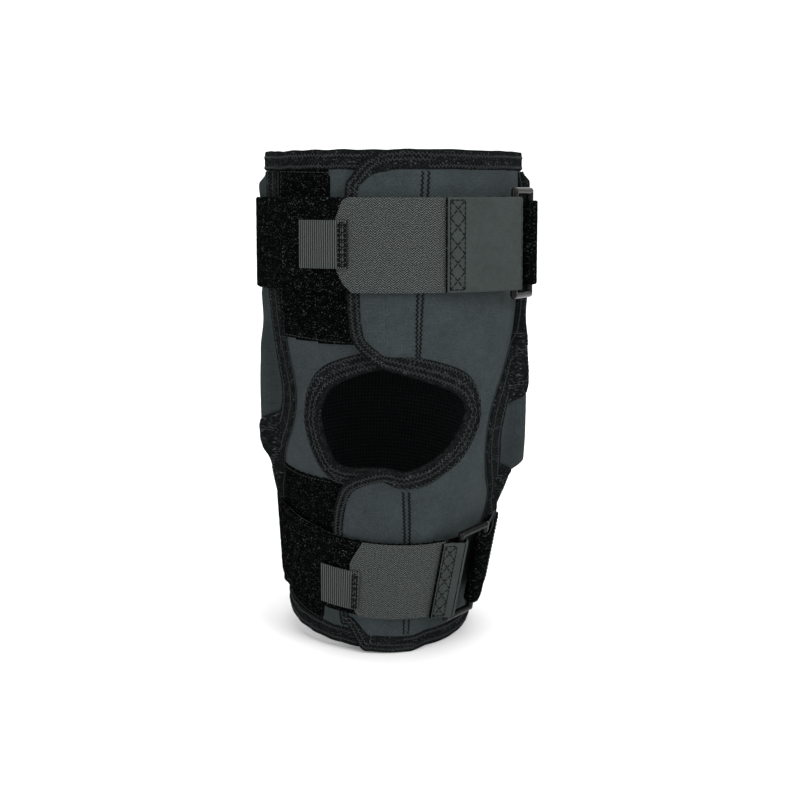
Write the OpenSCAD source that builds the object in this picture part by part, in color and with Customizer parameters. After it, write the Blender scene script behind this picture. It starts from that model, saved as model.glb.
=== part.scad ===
// Wraparound hinged knee brace: two neoprene cuffs, an open kneecap, two geared side hinges and two straps.
// Row frame: X to the right, front is -Y, Z up, origin midway between the two hinge pivots.
// Each cuff is drawn upright round the Z axis, then leg_thigh or leg_shin tilts it to the rest pose.

/* [Overall] */
// Height from the middle of the knee to either rim, mm
rim_height = 137; // [120:1:150]
// Outside radius of the thigh cuff, mm
thigh_radius = 71.5; // [64:0.5:80]
// Outside radius of the knee section, mm
knee_radius = 66.5; // [60:0.5:72]
// Outside radius of the calf cuff, mm
calf_radius = 53.5; // [48:0.5:62]
// Neoprene thickness, mm
wall = 3.5; // [2.5:0.1:4.5]
// Bend of each cuff away from straight at rest, degrees
rest_bend = 7; // [0:0.5:12]
// Sideways lean of the calf cuff, degrees
calf_lean = 4; // [0:0.5:6]

/* [Straps] */
// Width of both main straps, mm
strap_width = 50; // [40:1:60]
// Thickness of the plush strap, mm
strap_thick = 2.2; // [1.6:0.1:3]
// Width of the webbing pull tabs, mm
pull_width = 25.4; // [20:0.2:30]
// Radius of the ring's round bars, mm
bar_radius = 2; // [1.6:0.1:2.6]
// Distance between the two long bars of a ring, mm
ring_pitch = 21; // [18:0.5:32]
// Where the upper ring sits, degrees from the front
upper_ring_angle = 62.5; // [50:0.5:70]
// Where the lower ring sits, degrees from the front
lower_ring_angle = 47.3; // [40:0.1:60]
// Inside height of a ring, mm
ring_window = 52.4; // [50.6:0.2:60]

/* [Hinge] */
// Half the distance between the two pivots, mm
pivot_half = 11; // [9:0.5:14]
// Width of the aluminium stays, mm
stay_width = 16; // [12:0.5:20]
// Thickness of the stays, mm
stay_thick = 2.5; // [2:0.1:3]
// Radius of the rivet shank, mm
rivet_radius = 3; // [2:0.1:4]
// Running gap between a stay and its rivet, mm
rivet_gap = 0.06; // [0.02:0.01:0.1]

/* [Hidden] */
$fn = 96;
gap = 0.3;
ring_height = ring_window + 4 * bar_radius;

// ---------- placings ----------
module leg_thigh() translate([0, 0, pivot_half]) rotate([-rest_bend, 0, 0])
    translate([0, 0, -pivot_half]) children();
module leg_shin() translate([0, 0, -pivot_half]) rotate([rest_bend, 0, 0])
    translate([0, 0, pivot_half]) children();
module leg_calf() leg_shin() translate([0, 0, -pivot_half]) rotate([0, calf_lean, 0])
    translate([0, 0, pivot_half]) children();

// ---------- cuff profiles: outside radius at a height ----------
thigh_knots = [[-40, knee_radius], [19, knee_radius], [67, thigh_radius], [200, thigh_radius]];
calf_knots = [[-200, calf_radius], [-101, calf_radius], [-12, knee_radius], [40, knee_radius]];
lower_strap_knots = [[-140, 54.9], [-20, 67.86]];
upper_strap_knots = [[0, 75.7], [200, 75.7]];
function profile(knots, d, z0, z1) = concat(
    [[lookup(z0, knots) + d, z0]],
    [for (k = knots) if (k[0] > z0 && k[0] < z1) [k[1] + d, k[0]]],
    [[lookup(z1, knots) + d, z1]]);
function backwards(v) = [for (i = [len(v) - 1:-1:0]) v[i]];

// A curved sheet: offsets d0..d1 from the cuff's outside, heights z0..z1, angles a0..a1 from the front.
module sheet(knots, d0, d1, z0, z1, a0, a1)
    rotate([0, 0, -90 + a0]) rotate_extrude(angle = a1 - a0)
        polygon(concat(profile(knots, d0, z0, z1), backwards(profile(knots, d1, z0, z1))));
// Turns arc lengths on the outside of a cuff into front-view points.
function flat(knots, pts) = [for (p = pts)
    let (r = lookup(p[1], knots)) [r * sin(p[0] / r * 180 / PI), p[1]]];
module front_prism(pts) rotate([90, 0, 0]) linear_extrude(110) polygon(pts);
module along_y(pts, w) rotate([90, 0, 0]) translate([0, 0, -w / 2]) linear_extrude(w) polygon(pts);
module along_x(x0, x1) translate([x0, 0, 0]) rotate([90, 0, 90]) linear_extrude(x1 - x0) children();
// Space behind the knee that the cuffs leave free for bending, drawn in the thigh cuff's own frame.
module thigh_keep(front_z) along_x(-120, 120)
    polygon([[-130, front_z], [12, front_z], [100, 1.43 * 100 - 3], [100, 200], [-130, 200]]);
module calf_keep(front_z) along_x(-120, 120)
    polygon([[-130, -front_z], [12, -front_z], [100, -1.43 * 100 + 3], [100, -200], [-130, -200]]);

// ---------- outlines: arc length round the cuff, height ----------
flap_up = [[-5, 135.7], [-13.4, 131.6], [-19.8, 124.2], [-23.7, 113.7], [-22.8, 61.3], [-21.8, 46],
    [-19.1, 35.2], [-11.6, 27.7], [-5.2, 23.4], [11, 18.4], [20, 15.6]];
flap_up_in = [[3, 127.6], [-5, 125.2], [-13.4, 120], [-17.7, 113.7], [-18.4, 61.4], [-16.9, 46],
    [-13.7, 38.5], [-5.2, 32.6], [11.7, 28.2], [20, 25.4]];
flap_low = [[-8.9, -135.9], [-16.8, -122.8], [-22, -117.5], [-27.5, -64], [-26.9, -37.5],
    [-19.9, -26.4], [-4.9, -19.5], [7.3, -19.2], [20, -14.5]];
flap_low_in = [[3, -129.4], [-7.1, -127.5], [-14.4, -121.2], [-22.5, -64.9], [-22.3, -41.7],
    [-16, -34.2], [6.7, -29.6], [20, -24.5]];
patella = [[-41.8, 1.7], [-40.5, 8.7], [-35.3, 17.4], [-25.1, 24.3], [-5.4, 30.8], [10.9, 26.3],
    [23, 21.7], [36.4, 13.8], [41.1, 4.1], [38.9, -4.3], [32.3, -15.2], [23.4, -21.2], [6.7, -28.3],
    [-5.5, -27.7], [-25.8, -28.8], [-33.6, -25.8], [-39.1, -14.3], [-41.9, -3]];
// The same closed outline moved outwards by d.
function unit(v) = v / norm(v);
function grown(p, d) = [for (i = [0:len(p) - 1])
    let (a = p[(i + len(p) - 1) % len(p)], b = p[(i + 1) % len(p)], t = unit(b - a))
        [p[i][0] - t[1] * d, p[i][1] + t[0] * d]];
module patella_hole(d) front_prism(grown(patella, d));
module patella_band(d0, d1) rotate([90, 0, 0]) linear_extrude(110) difference() {
    polygon(grown(patella, d1));
    polygon(grown(patella, d0));
}

// ---------- thigh cuff ----------
flap_angle = 14;
module thigh_piece(a0, a1, z1) intersection() {
    sheet(thigh_knots, -wall, 0, 2, z1, a0, a1);
    thigh_keep(12.2);
}
module left_panel_thigh() color([0.2, 0.23, 0.24]) difference() {
    leg_thigh() thigh_piece(-118, flap_angle - 2, rim_height - 1.2);
    patella_hole(1.4);
}
module upper_flap_zone(d0, d1, a1) sheet(thigh_knots, d0, d1, 12.2, rim_height - 0.5, -24, a1);
module right_panel_thigh() color([0.18, 0.21, 0.22]) difference() {
    leg_thigh() union() {
        thigh_piece(flap_angle, 118, rim_height - 1.2);
        sheet(thigh_knots, 0.3 - wall, 3.7, 12.6, rim_height - 9.9, flap_angle - 0.3, flap_angle + 3);
        intersection() {
            upper_flap_zone(1, 3.8, flap_angle + 0.5);
            front_prism(flat(thigh_knots, concat([[30, 25.4], [30, 127.3]], flap_up_in)));
        }
    }
    patella_hole(1.4);
    leg_thigh() intersection() {
        sheet(thigh_knots, 0.5, 6, 5, 40, 0, 20);
        front_prism([[-5, 10], [22, 10], [22, 25.4], [11.7, 28.2], [-5, 32.6]]);
    }
}
module back_panel_thigh() color([0.17, 0.19, 0.2]) leg_thigh()
    sheet(thigh_knots, -wall, 0, 94, rim_height - 1.2, 118.3, 241.7);
module thigh_rim_binding() color([0.07, 0.07, 0.08]) leg_thigh() difference() {
    sheet(thigh_knots, -wall - 1, 0.9, rim_height - 9.5, rim_height, flap_angle, 371.8);
    sheet(thigh_knots, -wall - 0.05, 0.05, rim_height - 12, rim_height - 1.1, flap_angle - 1, 373);
}
module upper_flap_binding() color([0.07, 0.07, 0.08]) leg_thigh() intersection() {
    upper_flap_zone(1, 4.05, flap_angle - 0.3);
    rotate([90, 0, 0]) linear_extrude(110) difference() {
        polygon(flat(thigh_knots, concat([[30, 15.6], [30, rim_height]], flap_up)));
        polygon(flat(thigh_knots, concat([[31, 25.5], [31, 127.5]], grown(flap_up_in, -0.1))));
    }
}
module upper_loop_patch() color([0.05, 0.05, 0.06]) leg_thigh() intersection() {
    sheet(thigh_knots, 0.05, 0.85, 30, 130, -59.5, 10);
    front_prism(flat(thigh_knots, [[-80, 127.1], [-34.5, 127], [30, 126.4], [30, 33.2], [-25.2, 33.8],
        [-80, 36.8]]));
}
module upper_hook_pad() color([0.09, 0.09, 0.1]) leg_thigh()
    sheet(thigh_knots, 0.87, 0.98, 36, 124, -12, 9.5);

// ---------- hinge ----------
tooth = [[-8.1, 9.1], [-4.7, 11], [-2, 12.1], [2, 12.1], [4.7, 11], [8.1, 9.1]];
// Head of a stay seen from the side, pivot at the origin, arm towards +Z.
function polar(a, r) = [r * cos(a), r * sin(a)];
module stay_side(first_tooth, arm) difference() {
    union() {
        circle(r = 9.3);
        translate([-stay_width / 2, 0]) square([stay_width, arm - 6]);
        translate([4 - stay_width / 2, arm - 12]) square([stay_width - 8, 12]);
        for (s = [-1, 1]) translate([s * (stay_width / 2 - 6), arm - 6]) circle(r = 5.99);
        for (k = [0:4]) polygon(concat([[0, 0]],
            [for (p = tooth) polar(first_tooth + 22.5 * k + p[0], p[1])]));
        polygon([[-3, 3], [-12.6, -4.6], [-12.6, -pivot_half + 0.15], [-7.4, -pivot_half + 0.15], [-3, -4]]);
    }
    circle(r = rivet_radius + rivet_gap);
}
// Side view of an upper stay: the arm goes up, its teeth face down and back.
module upper_side() translate([0, pivot_half]) stay_side(-90 + rest_bend - 22.5, 108);
module lower_side() translate([0, -pivot_half]) mirror([0, 1]) stay_side(-90 + rest_bend - 11.25 - 22.5, 102);
upper_bend = [[69.05, -6], [69.05, 31], [71.85, 67], [71.85, 130]];
right_bend = [[69.05, 6], [69.05, -25], [56.9, -62], [47.6, -104.5], [46.6, -130]];
left_bend = [[69.05, 6], [69.05, -25], [63.1, -57], [60.15, -97.1], [62.5, -130]];
function beside(pts, d) = [for (p = pts) [p[0] + d, p[1]]];
module bend_prism(pts, d0, d1, w) along_y(concat(beside(pts, d0), backwards(beside(pts, d1))), w);
module upper_stay() intersection() {
    bend_prism(upper_bend, 0, stay_thick - 0.1, 40);
    along_x(40, 90) upper_side();
}
module lower_stay(bend) intersection() {
    bend_prism(bend, 0, stay_thick - 0.1, 40);
    along_x(30, 90) lower_side();
}
module right_upper_stay() color([0.72, 0.73, 0.75]) leg_thigh() upper_stay();
module left_upper_stay() color([0.72, 0.73, 0.75]) leg_thigh() mirror([1, 0, 0]) upper_stay();
module right_lower_stay() color([0.72, 0.73, 0.75]) leg_shin() lower_stay(right_bend);
module left_lower_stay() color([0.72, 0.73, 0.75]) leg_shin() mirror([1, 0, 0]) lower_stay(left_bend);

module plate_side(r) union() {
    for (s = [-1, 1]) translate([0, s * pivot_half]) circle(r = r);
    square([2 * r, 2 * pivot_half], center = true);
}
module hinge_plate(x0, x1) difference() {
    along_x(x0, x1) plate_side(13.4);
    for (s = [-1, 1]) along_x(x0 - 1, x1 + 1) translate([0, s * pivot_half]) circle(r = rivet_radius);
}
module hinge_rivets() for (s = [-1, 1]) {
    along_x(67.8, 72.9) translate([0, s * pivot_half]) circle(r = rivet_radius - 0.001);
    along_x(66.95, 67.75) translate([0, s * pivot_half]) circle(r = 5);
    along_x(67.7, 67.85) translate([0, s * pivot_half]) circle(r = rivet_radius - 0.001);
    along_x(72.85, 73.7) translate([0, s * pivot_half]) circle(r = 5);
}
module right_hinge_inner_plate() color([0.6, 0.61, 0.63]) hinge_plate(67.8, 68.9);
module right_hinge_outer_plate() color([0.6, 0.61, 0.63]) hinge_plate(71.6, 72.8);
module right_hinge_rivets() color([0.75, 0.75, 0.76]) hinge_rivets();
module left_hinge_inner_plate() color([0.6, 0.61, 0.63]) mirror([1, 0, 0]) hinge_plate(67.8, 68.9);
module left_hinge_outer_plate() color([0.6, 0.61, 0.63]) mirror([1, 0, 0]) hinge_plate(71.6, 72.8);
module left_hinge_rivets() color([0.75, 0.75, 0.76]) mirror([1, 0, 0]) hinge_rivets();

// ---------- hinge pockets ----------
module thigh_pocket(a0, a1, turned) difference() {
    intersection() {
        union() {
            sheet(thigh_knots, 0.08, 1.6, 20, 127, a0, a1);
            mirror([turned, 0, 0]) intersection() {
                bend_prism(upper_bend, -4, stay_thick + 1.1, stay_width + 3);
                translate([0, -20, 20]) cube([90, 40, 104]);
            }
        }
        thigh_keep(31);
    }
    sheet(upper_strap_knots, -0.3, 6, 62, 114, a0 - 10, a1 + 10);
    sheet(thigh_knots, -12, 0.05, 10, 140, a0 - 10, a1 + 10);
    mirror([turned, 0, 0]) intersection() {
        bend_prism(upper_bend, -6, stay_thick + 0.05, stay_width + 0.8);
        translate([0, -20, 0]) cube([90, 40, 119.6]);
    }
}
module left_pocket_thigh() color([0.1, 0.11, 0.12]) leg_thigh() thigh_pocket(-112, -60.2, 1);
module right_pocket_thigh() color([0.1, 0.11, 0.12]) leg_thigh() thigh_pocket(81, 112, 0);

module calf_pocket(bend, turned, a0, a1) difference() {
    intersection() {
        union() {
            leg_calf() sheet(calf_knots, 0.08, 1.6, -127, -20, a0, a1);
            leg_shin() mirror([turned, 0, 0]) intersection() {
                bend_prism(bend, -8, stay_thick + 1, stay_width + 3);
                translate([0, -20, -119]) cube([90, 40, 99]);
            }
        }
        leg_calf() calf_keep(31);
    }
    leg_calf() sheet(lower_strap_knots, -0.3, 6, -115, -63, a0 - 10, a1 + 10);
    leg_calf() sheet(calf_knots, -20, 0.05, -140, 0, a0 - 10, a1 + 10);
    leg_shin() mirror([turned, 0, 0]) intersection() {
        bend_prism(bend, -10, stay_thick + 0.05, stay_width + 0.8);
        translate([0, -20, -114.5]) cube([90, 40, 130]);
    }
}
module left_pocket_calf() color([0.1, 0.11, 0.12]) calf_pocket(left_bend, 1, -112, -78);
module right_pocket_calf() color([0.1, 0.11, 0.12]) calf_pocket(right_bend, 0, 84, 112);

// Space between the two cuffs' cut planes, with a small gap to each.
module knee_zone(front_z, reach) difference() {
    translate([-90, -90, -reach]) cube([180, 180, 2 * reach]);
    leg_thigh() translate([0, 0, -gap]) thigh_keep(front_z);
    leg_calf() translate([0, 0, gap]) calf_keep(front_z);
}
// A soft layer that crosses the knee: the thigh cuff's shape above the middle, the calf cuff's below.
module knee_skin(d0, d1, a0, a1, reach, lower_top = 0.01) {
    intersection() {
        leg_thigh() sheet(thigh_knots, d0, d1, -14, reach, a0, a1);
        translate([-90, -90, 0]) cube([180, 180, 160]);
    }
    intersection() {
        leg_calf() sheet(calf_knots, d0, d1, -reach, 14, a0, a1);
        translate([-90, -90, -160]) cube([180, 180, 160 + lower_top]);
    }
}
module knee_pocket(a0, a1, turned) difference() {
    intersection() {
        union() {
            knee_skin(0.08, 1.7, a0, a1, 34);
            mirror([turned, 0, 0]) along_x(62, 75.4) plate_side(15.6);
        }
        knee_zone(31, 32);
    }
    knee_skin(-14, 0.07, a0 - 10, a1 + 10, 60);
    mirror([turned, 0, 0]) along_x(50, 74) plate_side(14.2);
    mirror([turned, 0, 0]) leg_thigh() translate([50, -8.6, 0]) cube([22.7, 17.2, 60]);
    mirror([turned, 0, 0]) leg_shin() translate([50, -8.6, -60]) cube([22.7, 17.2, 60]);
}
module left_pocket_knee() color([0.11, 0.12, 0.13]) knee_pocket(-112, -55, 1);
module right_pocket_knee() color([0.11, 0.12, 0.13]) knee_pocket(53, 112, 0);

// ---------- knee section ----------
module knee_panel(a0, a1) difference() {
    intersection() {
        knee_skin(-wall, 0, a0, a1, 46);
        knee_zone(12.2, 48);
    }
    patella_hole(1.4);
}
module left_panel_knee() color([0.2, 0.23, 0.24]) knee_panel(-118, -20);
module right_panel_knee() color([0.18, 0.21, 0.22]) knee_panel(20, 118);
module popliteal_panel() color([0.13, 0.14, 0.15]) union() {
    knee_skin(1 - wall, 0, 118.3, 241.7, 93.7, -0.15);
    intersection() {
        leg_thigh() sheet(thigh_knots, 1.4 - wall, -0.4, -12, 12, 118.5, 241.5);
        translate([-90, -90, -1]) cube([180, 180, 2]);
    }
}
module patella_lip(a0, a1) {
    intersection() {
        knee_skin(-wall - 0.8, 1.3, a0, a1, 60);
        patella_band(0, 1.3);
    }
    intersection() {
        knee_skin(0.08, 1.3, a0, a1, 60);
        patella_band(1.2, 9.4);
    }
}
module patella_binding_left() color([0.07, 0.07, 0.08]) difference() {
    patella_lip(-56, 12);
    leg_thigh() sheet(thigh_knots, 0, 6, 12, 60, -20, 20);
    leg_calf() sheet(calf_knots, 0, 6, -60, -10, -27, 25);
}
module patella_binding_right() color([0.07, 0.07, 0.08]) patella_lip(20.6, 56);

// ---------- calf cuff ----------
low_angle = 17;
module calf_piece(a0, a1) intersection() {
    sheet(calf_knots, -wall, 0, 1.2 - rim_height, -2, a0, a1);
    calf_keep(12.2);
}
module left_panel_calf() color([0.2, 0.23, 0.24]) difference() {
    leg_calf() calf_piece(-118, low_angle - 2);
    patella_hole(1.4);
}
module lower_flap_zone(d0, d1, a1) sheet(calf_knots, d0, d1, 0.5 - rim_height, -12.2, -30, a1);
module right_panel_calf() color([0.18, 0.21, 0.22]) difference() {
    leg_calf() union() {
        calf_piece(low_angle, 118);
        sheet(calf_knots, 0.3 - wall, 3.5, 9.9 - rim_height, -12.6, low_angle - 0.3, low_angle + 3);
        intersection() {
            lower_flap_zone(1, 3.6, low_angle + 0.5);
            front_prism(flat(calf_knots, concat([[30, -24.5], [30, -129]], flap_low_in)));
        }
    }
    patella_hole(1.4);
    leg_calf() intersection() {
        sheet(calf_knots, 0.5, 6, -40, -5, 0, 24);
        front_prism([[-5, -10], [24, -10], [24, -23.3], [6.7, -29.6], [-5, -31.2]]);
    }
}
module back_panel_calf() color([0.17, 0.19, 0.2]) leg_calf()
    sheet(calf_knots, -wall, 0, 1.2 - rim_height, -94, 118.3, 241.7);
module calf_rim_binding() color([0.07, 0.07, 0.08]) leg_calf() difference() {
    sheet(calf_knots, -wall - 1, 0.9, -rim_height, 9.5 - rim_height, low_angle, 374.8);
    sheet(calf_knots, -wall - 0.05, 0.05, 1.1 - rim_height, 12 - rim_height, low_angle - 1, 376);
}
module lower_flap_binding() color([0.07, 0.07, 0.08]) leg_calf() intersection() {
    lower_flap_zone(1, 3.8, low_angle - 0.3);
    rotate([90, 0, 0]) linear_extrude(110) difference() {
        polygon(flat(calf_knots, concat([[30, -14.5], [30, -rim_height]], flap_low)));
        polygon(flat(calf_knots, concat([[31, -24.6], [31, -129.2]], grown(flap_low_in, 0.1))));
    }
}
module lower_loop_patch() color([0.05, 0.05, 0.06]) leg_calf() intersection() {
    sheet(calf_knots, 0.05, 0.85, -128, -28, -77, 14);
    front_prism(flat(calf_knots, [[-84, -41], [-34.9, -32], [-29.6, -33.5], [30, -33.5], [30, -127],
        [-80, -126.7]]));
}
module lower_hook_pad() color([0.09, 0.09, 0.1]) leg_calf()
    sheet(calf_knots, 0.87, 0.98, -124, -40, -14, 12);

// ---------- rings, straps and tails ----------
// Seen from above with the front at -Y: r is the strap's own inside radius, y = 0 on that surface.
fold_in = bar_radius + 0.3;
fold_out = fold_in + strap_thick;
function bar_turn(r) = asin(ring_pitch / 2 / (r + fold_out));
function spot(r, a, up) = [(r + up) * sin(a), r - (r + up) * cos(a)];
// A layer whose height over the strap's inside runs from u0 at angle a0 to u1 at angle a1.
function layer_edge(r, a0, a1, u0, u1) = [for (i = [0:8])
    spot(r, a0 + (a1 - a0) * i / 8, u0 + (u1 - u0) * i / 8)];
module layer(r, a0, a1, u0, u1, thick) polygon(concat(layer_edge(r, a0, a1, u0, u1),
    backwards(layer_edge(r, a0, a1, u0 + thick, u1 + thick))));
// Half of the strap's loop round a bar, from the strap side to trim degrees short of the outer side.
module half_loop(r, side, trim) {
    turn = bar_turn(r);
    translate(spot(r, side * turn, fold_out)) rotate(side * turn) scale([-side, 1]) intersection() {
        difference() {
            circle(r = fold_out);
            circle(r = fold_in);
        }
        polygon([[0, 0], [0, 9], [9, 9], [9, -9], [9 * sin(trim), -9 * cos(trim)]]);
    }
}
module ring_solid(r) {
    turn = bar_turn(r);
    height = ring_window + 2 * bar_radius;
    for (s = [-1, 1]) translate([spot(r, s * turn, fold_out)[0], spot(r, turn, fold_out)[1], -height / 2]) {
        cylinder(r = bar_radius, h = height);
        sphere(r = bar_radius);
        translate([0, 0, height]) sphere(r = bar_radius);
    }
    for (s = [-1, 1]) translate([-ring_pitch / 2, spot(r, turn, fold_out)[1], s * height / 2])
        rotate([0, 90, 0]) cylinder(r = bar_radius, h = ring_pitch);
}
module slab(w) translate([0, 0, -w / 2]) linear_extrude(w) children();
module fold_solid(r) union() {
    slab(strap_width) half_loop(r, -1, 30);
    slab(strap_width) layer(r, -bar_turn(r) - 6, -bar_turn(r) + 0.2, 0, 0, strap_thick);
}
module anchor_solid(r, w, a_meet, a_end) union() {
    slab(w) half_loop(r, 1, 0);
    slab(w) layer(r, bar_turn(r) - 0.2, a_end, 0, 0, strap_thick);
    slab(w) layer(r, bar_turn(r) - 0.2, a_meet, fold_out + fold_in, strap_thick - 0.02, strap_thick);
    slab(w) layer(r, a_meet - 0.3, a_end, strap_thick - 0.02, strap_thick - 0.02, strap_thick);
}
// The tail: from its rounded end over the ring's free bar, down to the strap, then along it.
module tail_solid(r, a_low, a_end) union() {
    slab(strap_width) translate(spot(r, -bar_turn(r), fold_out + fold_in + strap_thick / 2))
        circle(r = strap_thick / 2);
    slab(strap_width) layer(r, -bar_turn(r), a_low, fold_out + fold_in, 4, strap_thick);
    slab(strap_width) layer(r, a_low + 0.1, a_end, 4, 4, strap_thick);
}
upper_r = 75.7;
lower_r = 60.75;
lower_tilt = 6.16;
module at_upper() leg_thigh() rotate([0, 0, upper_ring_angle]) translate([0, -upper_r, 88]) children();
module at_lower() leg_calf() rotate([0, 0, lower_ring_angle]) translate([0, -60.4, -89])
    rotate([lower_tilt, 0, 0]) children();
// The strap lies lower behind the pockets, so it steps down there.
module strap_band(knots, z0, a_start, a_end) union() {
    sheet(knots, 0, strap_thick, z0, z0 + strap_width, a_start, 114);
    sheet(knots, -3.6, strap_thick - 3.6, z0, z0 + strap_width, 114.6, 245.4);
    sheet(knots, 0, strap_thick, z0, z0 + strap_width, 246, a_end);
    for (a = [114.3, 245.7])
        sheet(knots, -3.3, strap_thick - 0.3, z0 + 0.4, z0 + strap_width - 0.4, a - 1.3, a + 1.3);
}
plush = [0.06, 0.06, 0.07];
module upper_strap() color(plush) leg_thigh() strap_band(upper_strap_knots, 63, 104.3, 360 + 48.2);
module upper_ring_anchor() color(plush) at_upper() anchor_solid(upper_r, 46, 21, 41);
module upper_ring() color([0.04, 0.04, 0.04]) at_upper() ring_solid(upper_r);
module upper_strap_fold() color(plush) at_upper() fold_solid(upper_r);
module upper_strap_tail() color([0.17, 0.18, 0.18]) at_upper() tail_solid(upper_r, -28, -42);
// The tab's outline, arc lengths measured at the thigh cuff's radius.
function tab_outline(r, pts) = [for (p = pts) [r * sin(p[0] * 180 / PI / thigh_radius), p[1]]];
module upper_hook_tab() color([0.14, 0.15, 0.15]) leg_thigh() intersection() {
    sheet([[0, 75.7], [200, 75.7]], strap_thick + 0.3, 3.9, 63, 113, -24, 30);
    front_prism(concat(tab_outline(79.2, [[-19.8, 63], [-24.4, 68.1], [-27.7, 75.5], [-27.7, 102],
        [-24.2, 111.6], [-22, 113.2]]), [[50, 113.2], [50, 63]]));
}
module upper_pull_tab() color([0.2, 0.21, 0.21]) leg_thigh() {
    rotate([0, 0, -22.2]) translate([0, -80.4, 75.6]) cylinder(r = 0.7, h = pull_width);
    sheet(upper_strap_knots, 4, 5.4, 75.6, 75.6 + pull_width, -38, -22.2);
}
module lower_strap() color(plush) leg_calf() strap_band(lower_strap_knots, -114, 83.5, 360 + 31.2);
module lower_ring_anchor() color(plush) at_lower() anchor_solid(lower_r, 46, 25, 33.5);
module lower_ring() color([0.04, 0.04, 0.04]) at_lower() ring_solid(lower_r);
module lower_strap_fold() color(plush) at_lower() fold_solid(lower_r);
module lower_strap_tail() color([0.17, 0.18, 0.18]) at_lower() tail_solid(lower_r, -16, -20);
module lower_hook_tab() color([0.14, 0.15, 0.15]) leg_calf() intersection() {
    sheet(lower_strap_knots, strap_thick + 0.3, 3.55, -114, -64, -20, 30);
    front_prism([[-13, -64], [-20, -79], [-19.4, -105], [-13, -114], [40, -114], [40, -64]]);
}
module lower_pull_tab() color([0.2, 0.21, 0.21]) leg_calf() {
    rotate([0, 0, -16.6]) translate([0, -60.4, -96]) rotate([lower_tilt, 0, 0])
        translate([0, -4.72, -pull_width / 2]) cylinder(r = 0.7, h = pull_width);
    sheet(lower_strap_knots, 4.05, 5.4, -108.7, -108.7 + pull_width, -33, -16.6);
}

left_panel_thigh();
right_panel_thigh();
back_panel_thigh();
thigh_rim_binding();
upper_flap_binding();
upper_loop_patch();
upper_hook_pad();
left_pocket_thigh();
right_pocket_thigh();
left_upper_stay();
right_upper_stay();
upper_strap();
upper_ring_anchor();
left_panel_knee();
right_panel_knee();
popliteal_panel();
patella_binding_left();
patella_binding_right();
left_pocket_knee();
right_pocket_knee();
left_hinge_inner_plate();
left_hinge_outer_plate();
left_hinge_rivets();
right_hinge_inner_plate();
right_hinge_outer_plate();
right_hinge_rivets();
left_panel_calf();
right_panel_calf();
back_panel_calf();
calf_rim_binding();
lower_flap_binding();
lower_loop_patch();
lower_hook_pad();
left_pocket_calf();
right_pocket_calf();
left_lower_stay();
right_lower_stay();
lower_strap();
lower_ring_anchor();
upper_ring();
upper_strap_fold();
upper_strap_tail();
upper_hook_tab();
upper_pull_tab();
lower_ring();
lower_strap_fold();
lower_strap_tail();
lower_hook_tab();
lower_pull_tab();
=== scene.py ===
"""Looks of the hinged knee brace: cloth panels, edge tape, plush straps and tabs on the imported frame."""
import math

import bmesh
import bpy
import numpy as np
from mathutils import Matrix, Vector


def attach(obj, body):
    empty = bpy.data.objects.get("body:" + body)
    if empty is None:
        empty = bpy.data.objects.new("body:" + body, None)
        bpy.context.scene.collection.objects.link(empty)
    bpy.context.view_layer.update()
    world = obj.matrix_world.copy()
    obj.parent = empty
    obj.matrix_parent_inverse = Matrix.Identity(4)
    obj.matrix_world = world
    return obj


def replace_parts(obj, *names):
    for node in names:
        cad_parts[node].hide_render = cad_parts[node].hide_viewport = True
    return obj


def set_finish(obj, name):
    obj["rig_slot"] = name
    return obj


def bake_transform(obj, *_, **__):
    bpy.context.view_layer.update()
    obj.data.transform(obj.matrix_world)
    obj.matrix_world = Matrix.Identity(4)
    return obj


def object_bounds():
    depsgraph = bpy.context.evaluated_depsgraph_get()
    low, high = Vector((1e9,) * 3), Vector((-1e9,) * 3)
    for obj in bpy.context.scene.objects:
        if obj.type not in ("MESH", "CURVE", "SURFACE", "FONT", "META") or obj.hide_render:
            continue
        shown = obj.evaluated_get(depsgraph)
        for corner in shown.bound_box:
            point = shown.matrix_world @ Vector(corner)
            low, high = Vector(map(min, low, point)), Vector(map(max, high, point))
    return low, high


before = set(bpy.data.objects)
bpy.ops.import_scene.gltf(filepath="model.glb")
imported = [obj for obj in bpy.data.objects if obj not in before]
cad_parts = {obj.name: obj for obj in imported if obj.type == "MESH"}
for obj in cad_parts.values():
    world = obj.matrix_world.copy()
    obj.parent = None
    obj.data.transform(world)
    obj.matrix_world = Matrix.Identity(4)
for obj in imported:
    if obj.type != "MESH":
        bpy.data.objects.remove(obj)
cad_low, cad_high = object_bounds()

# --- the sleeve's shape, in millimetres
PIVOT = 11.0  # each hinge pivot's distance from the knee's middle
BEND = math.radians(7)  # each cuff's bend at rest
LEAN = math.radians(4)  # the calf's lean to the side
WALL = 3.5  # the neoprene's thickness
RIM = 137.0  # each rim's distance from the knee, up or down the sleeve
KNEE_MIX = 26.0  # half the height over which thigh and calf run into each other
# heights up the sleeve and its outside radius there
HEIGHTS = [-200, -101, -12, 14, 67, 200]
RADII = [53.5, 53.5, 66.5, 66.5, 71.5, 71.5]


def smooth(t):
    t = np.clip(t, 0, 1)
    return t * t * (3 - 2 * t)


def radius(s):
    """Outside radius of the sleeve at height s, with its corners rounded off."""
    s = np.asarray(s, float)
    return np.mean([np.interp(s + o, HEIGHTS, RADII) for o in np.linspace(-9, 9, 7)], axis=0)


ABOUT_X, ABOUT_Y, ABOUT_Z = (1, 2), (2, 0), (0, 1)


def turned(p, angle, axes):
    """Points turned from the first of two axes towards the second."""
    i, j = axes
    c, s = math.cos(angle), math.sin(angle)
    out = p.copy()
    out[..., i] = c * p[..., i] - s * p[..., j]
    out[..., j] = s * p[..., i] + c * p[..., j]
    return out


def thigh(p):
    """From the thigh cuff's upright frame to the row frame, both in mm."""
    up = np.array([0, 0, PIVOT])
    return turned(p - up, -BEND, ABOUT_X) + up


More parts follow.
